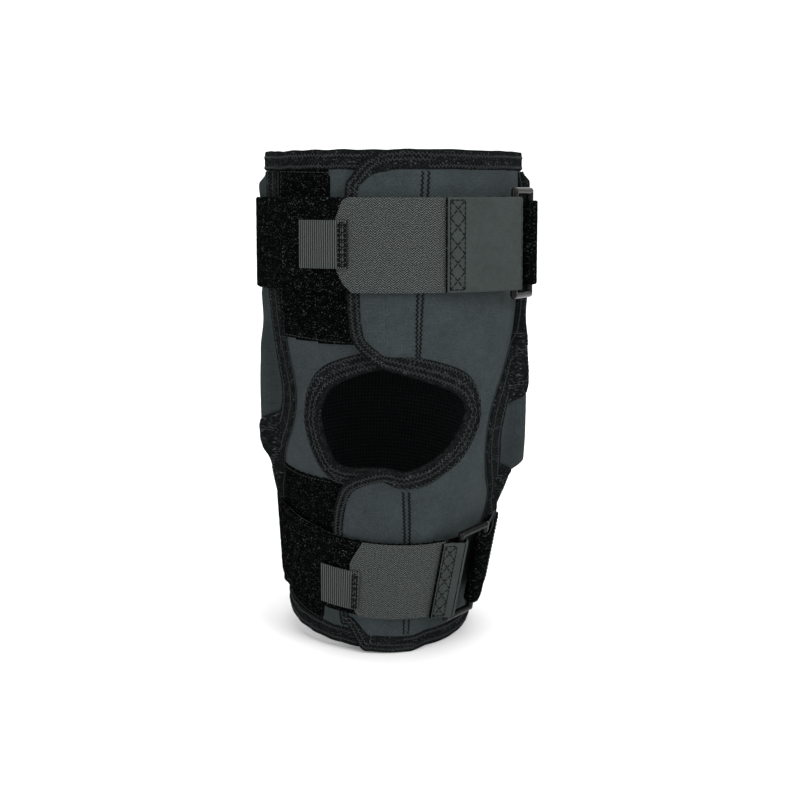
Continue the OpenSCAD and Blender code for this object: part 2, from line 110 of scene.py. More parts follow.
def calf(p):
    """From the calf cuff's upright frame to the row frame, both in mm."""
    down = np.array([0, 0, -PIVOT])
    return turned(turned(p - down, LEAN, ABOUT_Y), BEND, ABOUT_X) + down


def surface(a, s, d=0.0):
    """Points in mm on the sleeve: a degrees from the front, s up the sleeve, d off its outside."""
    a, s, d = np.broadcast_arrays(np.asarray(a, float), np.asarray(s, float), np.asarray(d, float))
    r = radius(s) + d
    p = np.stack([r * np.sin(np.radians(a)), -r * np.cos(np.radians(a)), s], -1)
    w = smooth((KNEE_MIX - s) / (2 * KNEE_MIX))[..., None]
    return thigh(p) * (1 - w) + calf(p) * w


def at_arc(points):
    """(arc length, height) points to (angle, height) points."""
    points = np.asarray(points, float)
    return np.stack([np.degrees(points[:, 0] / radius(points[:, 1])), points[:, 1]], -1)


def at_front(points):
    """Front-view (x, z) points to the (angle, height) points seen there, by repeated correction."""
    points = np.asarray(points, float)
    a = np.degrees(np.arcsin(points[:, 0] / 68))
    s = points[:, 1] * 1.0
    part = 0.8
    for _ in range(40):
        p = surface(a, s)
        a = a + part * np.degrees((points[:, 0] - p[:, 0]) / 67)
        s = s + part * (points[:, 1] - p[:, 2])
    return np.stack([a, s], -1)


def spline(points, step, closed=False):
    """A smooth curve through the points, about step apart (Catmull-Rom). Extra columns are carried along."""
    p = np.asarray(points, float)
    n = len(p)
    out = []
    for i in range(n if closed else n - 1):
        if closed:
            q = [p[(i + k) % n] for k in (-1, 0, 1, 2)]
        else:
            q = [p[max(i - 1, 0)], p[i], p[i + 1], p[min(i + 2, n - 1)]]
        count = max(2, int(np.linalg.norm((q[2] - q[1])[:2]) / step))
        for t in np.arange(count) / count:
            out.append(0.5 * (2 * q[1] + (q[2] - q[0]) * t + (2 * q[0] - 5 * q[1] + 4 * q[2] - q[3]) * t ** 2
                              + (3 * q[1] - q[0] - 3 * q[2] + q[3]) * t ** 3))
    if not closed:
        out.append(p[-1])
    return np.array(out)


def along(curve):
    """The distance from the curve's start to each of its points."""
    return np.concatenate([[0], np.cumsum(np.linalg.norm(np.diff(curve[:, :2], axis=0), axis=1))])


def even(curve, step, closed=False):
    """The same curve resampled at even steps."""
    c = np.vstack([curve, curve[:1]]) if closed else curve
    length = along(c)
    want = np.linspace(0, length[-1], max(3, int(length[-1] / step)) + 1)
    if closed:
        want = want[:-1]
    return np.stack([np.interp(want, length, c[:, k]) for k in range(c.shape[1])], -1)


def unit(v):
    return v / (np.linalg.norm(v, axis=-1, keepdims=True) + 1e-9)


def inside(points, polygon):
    """Which points lie inside the polygon."""
    x, y = points[..., 0], points[..., 1]
    hit = np.zeros(x.shape, bool)
    for (x0, y0), (x1, y1) in zip(polygon, np.roll(polygon, -1, axis=0)):
        if y0 != y1:
            hit ^= ((y0 > y) != (y1 > y)) & (x < (x1 - x0) * (y - y0) / (y1 - y0) + x0)
    return hit


def ripple(a, s, size, seed):
    """Gentle creases in cloth: a smooth random height in mm."""
    r = np.random.default_rng(seed)
    out = 0
    waves = 9
    for _ in range(waves):
        k = r.uniform(0.03, 0.16)
        way = r.uniform(0, math.pi)
        out = out + np.sin(k * (math.cos(way) * np.asarray(a) * 1.2 + math.sin(way) * np.asarray(s))
                           + r.uniform(0, 6.3))
    return out * size / 3


# --- materials
def material(name, build):
    m = bpy.data.materials.new(name)
    m.use_nodes = True
    tree = m.node_tree
    bsdf = tree.nodes["Principled BSDF"]
    build(tree, bsdf)
    return m


def node(tree, kind, **values):
    """A shader node. The values set its inputs, with _ for a space in an input's name."""
    n = tree.nodes.new("ShaderNode" + kind)
    for key, value in values.items():
        n.inputs[key.replace("_", " ")].default_value = value
    return n


def link(tree, a, b):
    tree.links.new(a, b)


def cloth_uv(tree):
    """The (u, v) pair in metres along and across the cloth."""
    return node(tree, "TexCoord").outputs["UV"]


def noise(tree, vector, scale, detail=3.0, rough=0.6):
    n = node(tree, "TexNoise", Scale=scale, Detail=detail, Roughness=rough)
    link(tree, vector, n.inputs["Vector"])
    return n.outputs["Fac"]


def wave(tree, vector, scale, direction, distortion):
    n = node(tree, "TexWave", Scale=scale, Distortion=distortion, Detail=0)
    n.bands_direction = direction
    link(tree, vector, n.inputs["Vector"])
    return n.outputs["Fac"]


def math_node(tree, operation, a, b):
    n = node(tree, "Math")
    n.operation = operation
    for i, v in enumerate((a, b)):
        if isinstance(v, (int, float)):
            n.inputs[i].default_value = v
        else:
            link(tree, v, n.inputs[i])
    return n.outputs[0]


def mixture(tree, *parts):
    """The sum of (share, value) pairs."""
    total = None
    for share, value in parts:
        value = math_node(tree, "MULTIPLY", value, share)
        total = value if total is None else math_node(tree, "ADD", total, value)
    return total


def colour_by(tree, bsdf, fac, stops):
    """The base colour follows the value through (place, colour) stops."""
    n = node(tree, "ValToRGB")
    while len(n.color_ramp.elements) < len(stops):
        n.color_ramp.elements.new(0.5)
    for e, (place, colour) in zip(n.color_ramp.elements, stops):
        e.position = place
        e.color = (*colour, 1)
    link(tree, fac, n.inputs["Fac"])
    link(tree, n.outputs["Color"], bsdf.inputs["Base Color"])


def bump(tree, bsdf, height, strength, distance):
    """Relief in the surface: distance is its depth in metres."""
    n = node(tree, "Bump", Strength=strength, Distance=distance)
    link(tree, height, n.inputs["Height"])
    link(tree, n.outputs["Normal"], bsdf.inputs["Normal"])


def rough_by(tree, bsdf, value, low, high):
    """The roughness follows the value between two limits."""
    n = node(tree, "MapRange", To_Min=low, To_Max=high)
    link(tree, value, n.inputs["Value"])
    link(tree, n.outputs[0], bsdf.inputs["Roughness"])


def cloth(tree, bsdf, roughness, level, relief, strength, depth):
    bsdf.inputs["Roughness"].default_value = roughness
    bsdf.inputs["Specular IOR Level"].default_value = level
    bump(tree, bsdf, relief, strength, depth)


def shade(colour, k):
    return tuple(min(1.0, c * k) for c in colour)


def knit(colour, contrast, period, size):
    """Smooth knit facing: fine courses with a slight mottle."""
    def build(tree, bsdf):
        v = cloth_uv(tree)
        fine = noise(tree, v, 1 / size, 4)
        broad = noise(tree, v, 45, 2)
        middle = noise(tree, v, 260, 3)
        rows = math_node(tree, "MULTIPLY", *[wave(tree, v, 0.5 / period, way, 0.6) for way in "XY"])
        mix = mixture(tree, (0.50, fine), (0.22, broad), (0.22, middle), (0.12, rows))
        colour_by(tree, bsdf, mix, [(0.28, shade(colour, 1 - contrast)), (0.5, colour),
                                    (0.74, shade(colour, 1 + contrast))])
        cloth(tree, bsdf, 0.86, 0.06, math_node(tree, "ADD", rows, fine), 0.5, 0.0003)
    return build


def pile(colour, sheen_speck, size):
    """Brushed loop pile: near black, with lighter fibre ends whose specks are painted sheen."""
    def build(tree, bsdf):
        v = cloth_uv(tree)
        fibres = noise(tree, v, 1 / size, 2, 0.7)
        clumps = noise(tree, v, 0.25 / size, 3, 0.6)
        mix = mixture(tree, (0.7, fibres), (0.3, clumps))
        # the lightest stop is painted sheen: bright specks where the fibres would catch the light
        colour_by(tree, bsdf, mix, [(0.46, shade(colour, 0.5)), (0.57, colour), (0.70, sheen_speck)])
        cloth(tree, bsdf, 0.95, 0.0, mix, 0.9, 0.0012)
    return build


def ribbed(colour, period, contrast, direction="X", depth=0.0004, level=0.08):
    """Ribs across or along the piece, broken up by thread noise."""
    def build(tree, bsdf):
        v = cloth_uv(tree)
        ribs = wave(tree, v, 0.5 / period, direction, 0.8)
        fine = noise(tree, v, 1400, 3)
        mix = mixture(tree, (0.55, ribs), (0.45, fine))
        colour_by(tree, bsdf, mix, [(0.2, shade(colour, 1 - contrast)), (0.5, colour),
                                    (0.8, shade(colour, 1 + contrast))])
        cloth(tree, bsdf, 0.8, level, mix, 0.7, depth)
    return build


def chevron(colour, light):
    """Twill backing: slanted threads that turn back every few millimetres."""
    turn_back, thread_pitch = 0.0024, 0.00125

    def build(tree, bsdf):
        v = cloth_uv(tree)
        split = node(tree, "SeparateXYZ")
        link(tree, v, split.inputs[0])
        fold = math_node(tree, "PINGPONG", split.outputs["X"], turn_back)
        slant = mixture(tree, (1, split.outputs["Y"]), (0.9, fold), (0.0007, noise(tree, v, 420, 2)))
        waves = math_node(tree, "SINE", math_node(tree, "MULTIPLY", slant, 2 * math.pi / thread_pitch), 0.0)
        mix = mixture(tree, (0.20, waves), (1, noise(tree, v, 1500, 3)))
        colour_by(tree, bsdf, mix, [(0.28, shade(colour, 0.35)), (0.5, colour), (0.74, light)])
        cloth(tree, bsdf, 0.75, 0.08, mix, 0.6, 0.0004)
    return build


def mesh_cloth(colour):
    """Open stretch mesh: small round holes, coloured darker as painted shade in the openings."""
    def build(tree, bsdf):
        v = cloth_uv(tree)
        cells = node(tree, "TexVoronoi", Scale=430, Randomness=0.12)
        link(tree, v, cells.inputs["Vector"])
        holes = mixture(tree, (1, cells.outputs["Distance"]), (0.2, noise(tree, v, 1100, 2)))
        # the darkest stop is painted shade in the holes' centres
        colour_by(tree, bsdf, holes, [(0.22, shade(colour, 0.25)), (0.42, colour), (0.8, shade(colour, 1.3))])
        cloth(tree, bsdf, 0.85, 0.05, holes, 0.7, 0.0006)
    return build


def moulded(colour, roughness):
    """Glossy moulded plastic with faint flow marks."""
    def build(tree, bsdf):
        marks = noise(tree, node(tree, "TexCoord").outputs["Object"], 260, 4)
        rough_by(tree, bsdf, marks, roughness * 0.7, roughness * 1.4)
        colour_by(tree, bsdf, marks, [(0.3, shade(colour, 0.8)), (0.7, shade(colour, 1.25))])
        bsdf.inputs["Specular IOR Level"].default_value = 0.14
        bump(tree, bsdf, marks, 0.12, 0.0003)
    return build


def metal(colour, roughness, stretch):
    """Rolled or brushed metal: long fine scratches."""
    def build(tree, bsdf):
        mapping = node(tree, "Mapping", Scale=stretch)
        link(tree, node(tree, "TexCoord").outputs["Object"], mapping.inputs["Vector"])
        lines = noise(tree, mapping.outputs["Vector"], 40, 5)
        rough_by(tree, bsdf, lines, roughness * 0.7, roughness * 1.5)
        colour_by(tree, bsdf, lines, [(0.3, shade(colour, 0.8)), (0.7, colour)])
        bsdf.inputs["Metallic"].default_value = 1.0
        bump(tree, bsdf, lines, 0.15, 0.0002)
    return build


SLATE = (0.0260, 0.0325, 0.0335)
LOOKS = {
    "neoprene": knit(SLATE, 0.58, 0.0012, 0.0010),
    "lining": knit(shade(SLATE, 0.5), 0.25, 0.0010, 0.0008),
    "pocket_fabric": knit(shade(SLATE, 0.8), 0.4, 0.0013, 0.0010),
    "mesh_fabric": mesh_cloth(shade(SLATE, 0.6)),
    # each pile's second colour is its painted sheen specks
    "edge_tape": pile((0.0085, 0.0098, 0.0100), (0.062, 0.069, 0.070), 0.0010),
    "loop_plush": pile((0.0020, 0.0022, 0.0022), (0.050, 0.055, 0.055), 0.00095),
    "strap_plush": pile((0.0022, 0.0025, 0.0025), (0.058, 0.064, 0.064), 0.00100),
    "strap_back": knit((0.0305, 0.0365, 0.0350), 0.40, 0.0010, 0.0008),
    "hook_tape": chevron((0.0175, 0.0208, 0.0203), (0.084, 0.094, 0.091)),
    "webbing": ribbed((0.033, 0.037, 0.036), 0.0021, 0.97, "X", 0.0008),
    "thread": ribbed((0.030, 0.034, 0.034), 0.0006, 0.5, "Y", 0.0003),
    "thread_dark": ribbed((0.0035, 0.0040, 0.0040), 0.0006, 0.5, "Y", 0.0003, 0.03),
    "ring_plastic": moulded((0.0025, 0.0027, 0.0027), 0.24),
    "aluminium_stay": metal((0.62, 0.63, 0.65), 0.34, (1, 1, 30)),
    "hinge_steel": metal((0.52, 0.53, 0.55), 0.3, (1, 25, 1)),
}
MAT = {name: material(name, look) for name, look in LOOKS.items()}


# --- mesh building
UV_RADIUS = 0.068  # metres: one radius for the cloth's u, so that its weave is even all over


def new_object(name, data):
    obj = bpy.data.objects.new(name, data)
    bpy.context.scene.collection.objects.link(obj)
    return obj


def make(name, points, faces, uv, mats, slot, which=None):
    """A mesh object from points in mm, faces and one (u, v) pair in metres for each point."""
    mesh = bpy.data.meshes.new(name)
    mesh.from_pydata((np.asarray(points) * 0.001).tolist(), [], np.asarray(faces).tolist())
    layer = mesh.uv_layers.new(name="UVMap")
    index = np.empty(len(mesh.loops), dtype=np.int32)
    mesh.loops.foreach_get("vertex_index", index)
    layer.data.foreach_set("uv", np.asarray(uv, np.float32)[index].ravel())
    mesh.polygons.foreach_set("use_smooth", np.ones(len(mesh.polygons), bool))
    for m in mats.split("+"):
        mesh.materials.append(MAT[m])
    if which is not None:
        mesh.polygons.foreach_set("material_index", np.asarray(which, np.int32))
    mesh.update()
    obj = new_object(name, mesh)
    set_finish(obj, slot)
    return obj


def quads(nu, nv, close_v=False):
    """Faces of an nu by nv grid of points."""
    uu, vv = np.meshgrid(np.arange(nu - 1), np.arange(nv if close_v else nv - 1), indexing="ij")
    v1 = (vv + 1) % nv
    return np.stack([uu * nv + vv, (uu + 1) * nv + vv, (uu + 1) * nv + v1, uu * nv + v1], -1).reshape(-1, 4)


def cloth_layer(name, a, s, d, keep, mats, depth):
    """A closed layer over a grid of angles a and heights s, where keep is true, its outside at offset d."""
    nu, nv = a.shape
    d = np.broadcast_to(d, a.shape)
    outer = surface(a, s, d).reshape(-1, 3)
    inner = surface(a, s, d - depth).reshape(-1, 3)
    faces = quads(nu, nv)
    if keep is not None:
        faces = faces[keep.ravel()[faces].all(axis=1)]
    used, faces = np.unique(faces, return_inverse=True)
    faces = faces.reshape(-1, 4)
    n = len(used)
    edges = np.stack([faces, np.roll(faces, -1, axis=1)], -1).reshape(-1, 2)
    key = np.sort(edges, axis=1)
    code = key[:, 0] * n + key[:, 1]
    _, first, count = np.unique(code, return_index=True, return_counts=True)
    rim = edges[first[count == 1]]
    sides = np.stack([rim[:, 1], rim[:, 0], rim[:, 0] + n, rim[:, 1] + n], -1)
    every = np.vstack([faces, faces[:, ::-1] + n, sides])
    uv = np.stack([np.radians(a) * UV_RADIUS, s * 0.001], -1).reshape(-1, 2)[used]
    which = None
    if "+" in mats:
        which = np.concatenate([np.zeros(len(faces)), np.ones(len(faces)), np.zeros(len(sides))])
    points = np.vstack([outer[used], inner[used]])
    return make(name, points, every, np.vstack([uv, uv]), mats, mats.split("+")[0], which)


def follow_knee(obj, upper):
    """Bakes the transform of a soft piece on one side of the knee."""
    if upper:
        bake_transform(obj)
    else:
        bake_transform(obj)
    co = np.empty(len(obj.data.vertices) * 3)
    obj.data.vertices.foreach_get("co", co)
    co = co.reshape(-1, 3)
    return obj


def cross_knee(obj, *cad_nodes):
    """Cuts a soft piece at z = 0 into two halves. The first stands for the CAD nodes."""
    out = []
    z = [v.co.z for v in obj.data.vertices]
    least = 1e-4
    for upper in (True, False):
        if (max(z) if upper else -min(z)) < least:
            continue
        mesh = obj.data.copy()
        part = new_object(f"{obj.name}_{'up' if upper else 'low'}", mesh)
        if min(z) * max(z) < 0:
            bm = bmesh.new()
            bm.from_mesh(mesh)
            every = bm.verts[:] + bm.edges[:] + bm.faces[:]
            cut = bmesh.ops.bisect_plane(bm, geom=every, plane_co=(0, 0, 0), plane_no=(0, 0, 1),
                                         clear_inner=upper, clear_outer=not upper)["geom_cut"]
            rim = [e for e in cut if isinstance(e, bmesh.types.BMEdge) and e.is_boundary]
            bmesh.ops.holes_fill(bm, edges=rim, sides=0)
            bm.to_mesh(mesh)
            bm.free()
        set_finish(part, obj["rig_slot"])
        out.append(follow_knee(part, upper))
    bpy.data.objects.remove(obj)
    if cad_nodes:
        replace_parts(out[0], *cad_nodes)
    return out


# --- outlines
# the flaps' edges as (arc length, height) and the kneecap opening as front-view (x, z), in millimetres
FLAP_UP = [(-5, 135.7), (-13.4, 131.6), (-19.8, 124.2), (-23.7, 113.7), (-22.8, 61.3), (-21.8, 46),
           (-19.1, 35.2), (-11.6, 27.7), (-5.2, 23.4)]
FLAP_LOW = [(-4.9, -19.5), (-19.9, -26.4), (-26.9, -37.5), (-28.6, -64), (-22, -117.5), (-16.8, -122.8),
            (-8.9, -135.9)]
PATELLA = [(-5.4, 30.8), (-25.1, 24.3), (-35.3, 17.4), (-40.5, 8.7), (-41.8, 1.7), (-41.9, -3),
           (-39.1, -14.3), (-33.6, -25.8), (-25.8, -28.8), (-5.5, -27.7), (6.7, -28.3), (23.4, -21.2),
           (32.3, -15.2), (38.9, -4.3), (41.1, 4.1), (36.4, 13.8), (23, 21.7), (10.9, 26.3)]
FLAP_RISE = 3.7
hole = at_front(PATELLA)
hole_right = hole[:9:-1]  # the opening's right side, from the top down


def flap_lift(a, s):
    """The right panel's outside over the sleeve: it rises where its flaps lie on the left panel."""
    start = np.interp(s, [-60, 60], [33, 29])
    return FLAP_RISE * smooth((start - np.asarray(a)) / 15)


def flat_sleeve(a, s):
    return np.zeros(np.shape(a))


MEAN_RADIUS = 66


def scaled(points):
    """(angle, height) to about even millimetres, for lengths and normals."""
    q = np.asarray(points, float).copy()
    q[:, 0] = np.radians(q[:, 0]) * MEAN_RADIUS
    return q


def unscaled(points):
    q = np.asarray(points, float).copy()
    q[:, 0] = np.degrees(q[:, 0] / MEAN_RADIUS)
    return q


def fine(points):
    """A smooth curve through (angle, height) points, with a point about every 1.2 mm."""
    return unscaled(even(spline(scaled(points), 0.8), 1.2))


def sideways(curve):
    """Unit vectors to the curve's left, in scaled millimetres."""
    t = unit(np.gradient(scaled(curve), axis=0))
    return np.stack([-t[:, 1], t[:, 0]], -1)


TOP_RUN = [(19, RIM - 0.2), (8, RIM - 0.2), (1, RIM - 0.3)]
LOW_RUN = [(-3.5, 0.5 - RIM), (3, 0.2 - RIM), (13, 0.2 - RIM), (19, 0.2 - RIM)]
right_edge = np.vstack([at_arc(TOP_RUN), at_arc(FLAP_UP), hole_right, at_arc(FLAP_LOW), at_arc(LOW_RUN)])
right_line = fine(right_edge)
left_line = fine(np.vstack([[hole[17] + [0, 3]], hole[:10], [hole[10] + [2, -3]]]))

# --- cloth panels
STEP_A = 0.95  # the panels' grid: degrees round the sleeve
STEP_S = 1.2  # and millimetres up it
TOP = RIM - 1.0  # the cloth ends inside the rims' tape
SIDE = 119  # degrees from the front where the side panels meet the back
CUFF = 91  # the back panels run from here to the rims
NEOPRENE = "neoprene+lining"


def grid(a0, a1, s0, s1):
    na = int(round((a1 - a0) / STEP_A)) + 1
    ns = int(round((s1 - s0) / STEP_S)) + 1
    return np.meshgrid(np.linspace(a0, a1, na), np.linspace(s0, s1, ns), indexing="ij")


a, s = grid(-SIDE, 12.5, -TOP, TOP)
wider = hole.copy()  # under the right panel the left one's opening is a little larger
wider[10:14, 1] -= 4.0
wider[14:18, 1] += 4.0
hole_closed = unscaled(even(spline(scaled(wider), 0.8, closed=True), 1.0, closed=True))
left_keep = ~inside(np.stack([a, s], -1), hole_closed)
left = cloth_layer("left_panel", a, s, ripple(a, s, 0.2, 3), left_keep, NEOPRENE, WALL)
left_halves = cross_knee(left, "left_panel_thigh", "left_panel_knee", "left_panel_calf")

a, s = grid(-28, SIDE, -TOP, TOP)
beyond = 150
right_outline = np.vstack([[(SIDE, beyond), (16, beyond)], right_line, [(16, -beyond), (SIDE, -beyond)]])
right_keep = inside(np.stack([a, s], -1), right_outline)
right_d = flap_lift(a, s) + ripple(a, s, 0.22, 5) * smooth((a + 10) / 30)
right = cloth_layer("right_panel", a, s, right_d, right_keep, NEOPRENE, 2.5)
right_halves = cross_knee(right, "right_panel_thigh", "right_panel_knee", "right_panel_calf")

for word, s_low, s_high, seed in (("thigh", CUFF, TOP, 9), ("calf", -TOP, -CUFF, 12)):
    a, s = grid(116.5, 243.5, s_low, s_high)
    back = cloth_layer(f"back_{word}", a, s, ripple(a, s, 0.25, seed), None, NEOPRENE, WALL)
    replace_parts(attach(back, f"{word}_cuff"), f"back_panel_{word}")

a, s = grid(115.5, 244.5, -93, 93)
back = cloth_layer("popliteal", a, s, -0.5 + ripple(a, s, 0.3, 15), None, "mesh_fabric", 2.0)
back_mesh = cross_knee(back, "popliteal_panel")


def patch(name, outline, d, depth, mat, bumps, seed):
    """A flat layer on the sleeve inside an (arc, height) outline. bumps: the pile's unevenness in mm."""
    edge = unscaled(even(scaled(at_arc(outline)), 1.0, closed=True))
    lo, hi = edge.min(axis=0), edge.max(axis=0)
    step_a, step_s = 0.75, 0.95
    na, ns = int((hi[0] - lo[0]) / step_a) + 2, int((hi[1] - lo[1]) / step_s) + 2
    a, s = np.meshgrid(np.linspace(lo[0], hi[0], na), np.linspace(lo[1], hi[1], ns), indexing="ij")
    keep = inside(np.stack([a, s], -1), edge)
    rough = np.random.default_rng(seed).normal(0, 1, a.shape) * bumps
    return cloth_layer(name, a, s, d + rough, keep, mat, depth)


PATCH_UP = [(-73.5, 128.6), (-34.5, 127.8), (-32.0, 98), (10, 98), (10, 34), (-25.2, 33.8), (-73.0, 36.4)]
PATCH_LOW = [(-86, -40), (-34.9, -31), (-29.6, -32.7), (12, -32.7), (12, -98), (-33.6, -98), (-35.3, -128),
             (-77.8, -126.7)]
PAD_UP = [(-13, 121), (9, 121), (9, 40), (-13, 40)]
PAD_LOW = [(-14, -42), (10, -42), (10, -120), (-14, -120)]
for name, outline, d, depth, mat, bumps, seed, cad_node in (
        ("loop_patch_thigh", PATCH_UP, 0.95, 0.9, "loop_plush", 0.07, 4, "upper_loop_patch"),
        ("loop_patch_calf", PATCH_LOW, 0.95, 0.9, "loop_plush", 0.07, 5, "lower_loop_patch"),
        ("hook_pad_thigh", PAD_UP, 1.12, 0.3, "hook_tape", 0.0, 1, "upper_hook_pad"),
        ("hook_pad_calf", PAD_LOW, 1.12, 0.3, "hook_tape", 0.0, 1, "lower_hook_pad")):
    cross_knee(patch(name, outline, d, depth, mat, bumps, seed), cad_node)


# --- hinge pockets
STAY_TOP = 2.4 + 1.0  # a stay's thickness and the cloth over it
PLATE_TOP = 75.2  # the cloth over the outer hinge plates, from the middle plane
STAY_HIGH = ([31, 67], [69.05, 71.85])  # height up the thigh, the stay's distance from the middle plane
CONE = ([-140, -20], [54.9, 67.86])  # height along the calf, radius on which the lower strap lies
POCKET_END = 127  # half the pockets' height
POCKET_BACK = 113  # degrees from the front to their back edge
POCKET_LEAST = 0.9  # a pocket's outside where it lies on the sleeve
# how the stays bend down the calf: height, distance from the middle plane
BENDS = {
    -1: ([-130, -97.1, -57, -25, 6], [62.5, 60.15, 63.1, 69.05, 69.05]),
    1: ([-130, -104.5, -62, -25, 6], [46.6, 47.6, 56.9, 69.05, 69.05]),
}
# the pockets' front edge: height up the sleeve, degrees from the front
POCKET_EDGE = {
    -1: ([-127, -62, -50, -40, -30, -20, -7.6, 7.5, 12.2, 26.7, 43, 127],
         [77, 77, 76, 74, 70, 62.5, 55.5, 53, 54, 57.6, 60.2, 60.2]),
    1: ([-127, -62, -50, -35, -15.2, -1.9, 5, 12.6, 28, 35, 45, 57.5, 127],
        [73, 73, 69, 59, 50.5, 51.5, 54.5, 61, 73, 77.5, 79, 79, 78]),
}


def pocket_lift(side, a, s):
    """Offset of a hinge pocket's outside: flat over the stay and the plates, soft down to the sleeve."""
    a, s = np.asarray(a, float), np.asarray(s, float)
    beta = np.radians(abs(a) - 90)
    flank = surface(side * 90.0 + 0 * s, s)
    shin = turned(flank + [0, 0, PIVOT], -BEND, ABOUT_X) - [0, 0, PIVOT]
    low = np.interp(shin[..., 2], *BENDS[side]) + STAY_TOP
    high = np.interp(s, *STAY_HIGH) + STAY_TOP
    plane = np.where(s > 0, high, low) - side * flank[..., 0] + radius(s)
    hinge = PLATE_TOP - side * flank[..., 0] + radius(s)
    reach, slope = np.where(s > 0, 50, 40), np.where(s > 0, 22, 12.5)
    plane = plane + (hinge - plane) * smooth((reach - abs(s)) / slope)
    y = radius(s) * np.sin(beta)
    half = np.interp(abs(s), [0, 14, 24, 42], [15.4, 15.4, 12.4, 9.9])
    flat = plane / np.cos(beta) - radius(s)
    fade = smooth((abs(y) - half - 1.2) / 5.0)
    fade = 1 - (1 - fade) * (1 - smooth((s - 120) / 6)) * (1 - smooth((-116 - s) / 6))
    return np.maximum(flat * (1 - fade) + POCKET_LEAST * fade, POCKET_LEAST)


def under_strap(side, a, s):
    """Offset of a pocket's outside where the straps press it down."""
    upper = smooth((s - 58) / 6) * smooth((118 - s) / 6)
    lower = smooth((-59 - s) / 6) * smooth((s + 119) / 6)
    under_upper = 4.0  # the upper strap's radius over the sleeve's
    under_lower = np.maximum(np.interp(s, *CONE) - radius(s) - 0.15, POCKET_LEAST)
    d = pocket_lift(side, a, s)
    d = d + (np.minimum(d, under_upper) - d) * upper
    return d + (np.minimum(d, under_lower) - d) * lower


def pocket_edge(side, s):
    """Degrees from the front to a pocket's front edge, with its corners rounded off."""
    return np.mean([np.interp(s + o, *POCKET_EDGE[side]) for o in (-6, -4, -2, 0, 2, 4, 6)], axis=0)


for side, word in ((-1, "left"), (1, "right")):
    t, s = np.meshgrid(np.linspace(0, 1, 66), np.linspace(-POCKET_END, POCKET_END, 216), indexing="ij")
    edge = pocket_edge(side, s)
    a = side * (edge + (POCKET_BACK - edge) * t)
    if side < 0:
        a, s = a[::-1], s[::-1]
    d = under_strap(side, a, s) + 0.5 * ripple(a, s, 0.18, 21 + side)
    pocket = cloth_layer(f"{word}_pocket", a, s, d, None, "pocket_fabric", 0.8)
    halves = cross_knee(pocket, *[f"{word}_pocket_{part}" for part in ("thigh", "knee", "calf")])


# --- tape, threads
# A tape's section from its inner to its outer edge: the place across it (above 0.2 a share of its width, else
# mm), the share of the panel's depth that it lies below the panel's outside, and its height over that in mm.
TAPE = [(0.9, 1, -0.35), (0.15, 1, -0.3), (-0.75, 1, -0.1), (-0.95, 0.45, 0), (-0.55, 0, 0.8), (0.15, 0, 1.0),
        (0.3, 0, 1.12), (0.5, 0, 1.12), (0.7, 0, 1.12), (0.93, 0, 0.95), (1.0, 0, 0.05)]
# The section of the tape down a pocket's front: mm across it, height over the pocket. None: on the sleeve.
BAND = [(0, None), (0.1, 0.3), (0.3, 0.8), (1.1, 1.35), (2.4, 1.35), (3.4, 1.0), (5.0, 0.85), (7.5, 0.85),
        (10.0, 0.85), (11.6, 1.0), (12.6, 1.35), (14, 1.35), (15.2, 0.9), (15.9, 0.0)]
ON_SLEEVE = 0.3


def edge_strip(name, curve, side, section, height):
    """Tape along a curve. section: its lines' mm across, their v, and what height needs to know of them."""
    n = sideways(curve) * side
    q = scaled(curve)
    length = along(q)
    columns, vs = [], []
    for across, v, *line in section:
        p = unscaled(q + n * np.reshape(across, (-1, 1)))
        columns.append(surface(p[:, 0], p[:, 1], height(p[:, 0], p[:, 1], *line)))
        vs.append(np.broadcast_to(v, length.shape))
    points = np.stack(columns, 1)
    uv = np.stack([np.broadcast_to(length[:, None], points.shape[:2]), np.stack(vs, 1)], -1) * 0.001
    faces = quads(len(curve), points.shape[1])
    if side > 0:
        faces = faces[:, ::-1]
    return make(name, points.reshape(-1, 3), faces, uv.reshape(-1, 2), "edge_tape", "edge_tape")


def tape(name, curve, width, side, lift, depth):
    """Tape folded over a panel's edge. width in mm; side: 1 if the panel lies left of the curve, else -1."""
    width = np.broadcast_to(np.asarray(width, float), (len(curve),))
    puckers = 1 + 0.12 * np.sin(along(scaled(curve)) * 2 * math.pi / 2.3 + 3)  # one each 2.3 mm

    def height(a, s, under, h):
        return lift(a, s) - depth * under + h * (1 if under else puckers)

    section = [(across * (width if across > 0.2 else 1.0), across * width, under, h)
               for across, under, h in TAPE]
    return edge_strip(name, curve, side, section, height)


def pocket_band(name, curve, side, lift):
    """The wide folded seam down a pocket's front."""
    def height(a, s, h):
        return ON_SLEEVE if h is None else lift(a, s) + h

    return edge_strip(name, curve, side, [(w, w, h) for w, h in BAND], height)


TUBE_SIDES = 5


def tubes(name, lines, r, mat, slot, place):
    """Threads: lines has the shape (count, points, 3) and becomes millimetres by place."""
    p = place(lines)
    t = unit(np.gradient(p, axis=1))
    side = unit(np.cross(t, [0.31, 0.17, 0.93]))
    up = np.cross(t, side)
    turns = np.arange(TUBE_SIDES) * 2 * math.pi / TUBE_SIDES
    points = np.stack([p + r * (math.cos(k) * side + math.sin(k) * up) for k in turns], 2)
    count, n = p.shape[:2]
    starts = (np.arange(count) * n * TUBE_SIDES)[:, None, None]
    faces = (quads(n, TUBE_SIDES, close_v=True)[None] + starts).reshape(-1, 4)
    down = np.broadcast_to(np.arange(n)[None, :, None] * 0.0006, points.shape[:3])
    around = np.broadcast_to(np.arange(TUBE_SIDES)[None, None, :] * 0.0003, points.shape[:3])
    return make(name, points.reshape(-1, 3), faces, np.stack([around, down], -1).reshape(-1, 2), mat, slot)


def on_sleeve(q):
    return surface(q[..., 0], q[..., 1], q[..., 2])


